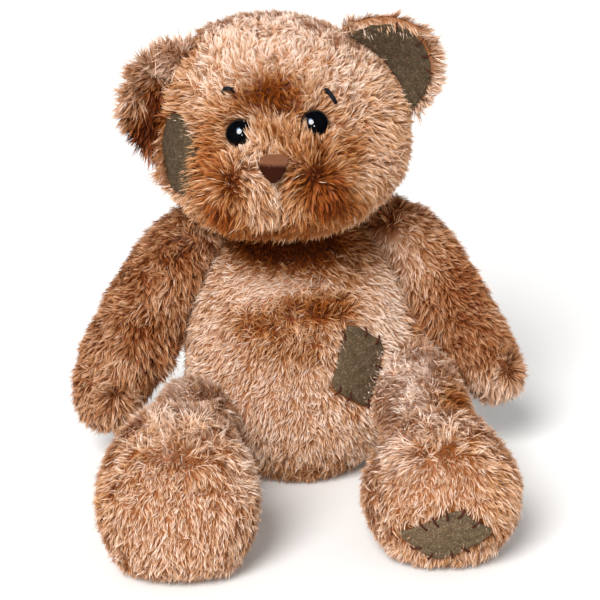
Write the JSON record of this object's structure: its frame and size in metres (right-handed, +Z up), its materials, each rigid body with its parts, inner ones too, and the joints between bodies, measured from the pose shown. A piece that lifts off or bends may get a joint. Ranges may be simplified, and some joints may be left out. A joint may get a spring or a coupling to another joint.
{
  "type": "teddy bear",
  "caption": "Threadbare seated teddy bear: stuffed plush head, body, arms, legs and ears with sewn wool patches, glossy eyes and a velour nose.",
  "frame": {"origin": "middle of the flat spot that the seat makes on the surface under it", "axes": "+Z up, -Y the way the bear faces, +X the bear's own left"},
  "size_m": [0.2354, 0.2098, 0.238],
  "materials": {
    "tan_plush": "long matted synthetic pile, pale tips over chestnut roots",
    "brown_plush": "long matted synthetic pile, cinnamon brown",
    "olive_wool": "flecked felted wool",
    "polyester_fill": "loose white fibre",
    "eye_plastic": "polished black",
    "washer_plastic": "moulded white",
    "nose_velour": "short brown velour, paler on top",
    "brow_thread": "satin-stitched blue-black thread"
  },
  "bodies": {
    "root": {"body_front_panel": "tan_plush", "tummy_patch": "olive_wool", "body_back_left_panel": "tan_plush", "body_back_right_panel": "tan_plush", "body_seat_panel": "tan_plush", "body_stuffing": "polyester_fill", "eye_left": "eye_plastic", "eye_left_washer": "washer_plastic", "eye_right": "eye_plastic", "eye_right_washer": "washer_plastic", "nose": "nose_velour", "cheek_patch": "olive_wool", "brow_left": "brow_thread", "brow_right": "brow_thread", "head_gusset_panel": "tan_plush", "muzzle_left_panel": "tan_plush", "muzzle_right_panel": "tan_plush", "head_back_panel": "tan_plush", "head_left_panel": "tan_plush", "head_right_panel": "tan_plush", "head_stuffing": "polyester_fill", "ear_left_back": "brown_plush", "ear_left_lining": "olive_wool", "ear_right_back": "brown_plush", "ear_right_lining": "brown_plush", "foot_patch": "olive_wool", "leg_left_sole_panel": "tan_plush", "leg_left_outer_panel": "tan_plush", "leg_left_inner_panel": "tan_plush", "leg_left_stuffing": "polyester_fill", "leg_right_sole_panel": "tan_plush", "leg_right_outer_panel": "tan_plush", "leg_right_inner_panel": "tan_plush", "leg_right_stuffing": "polyester_fill", "arm_left_front_panel": "brown_plush", "arm_left_back_panel": "brown_plush", "arm_left_stuffing": "polyester_fill", "arm_right_front_panel": "brown_plush", "arm_right_back_panel": "brown_plush", "arm_right_stuffing": "polyester_fill"}
  },
  "joints": []
}
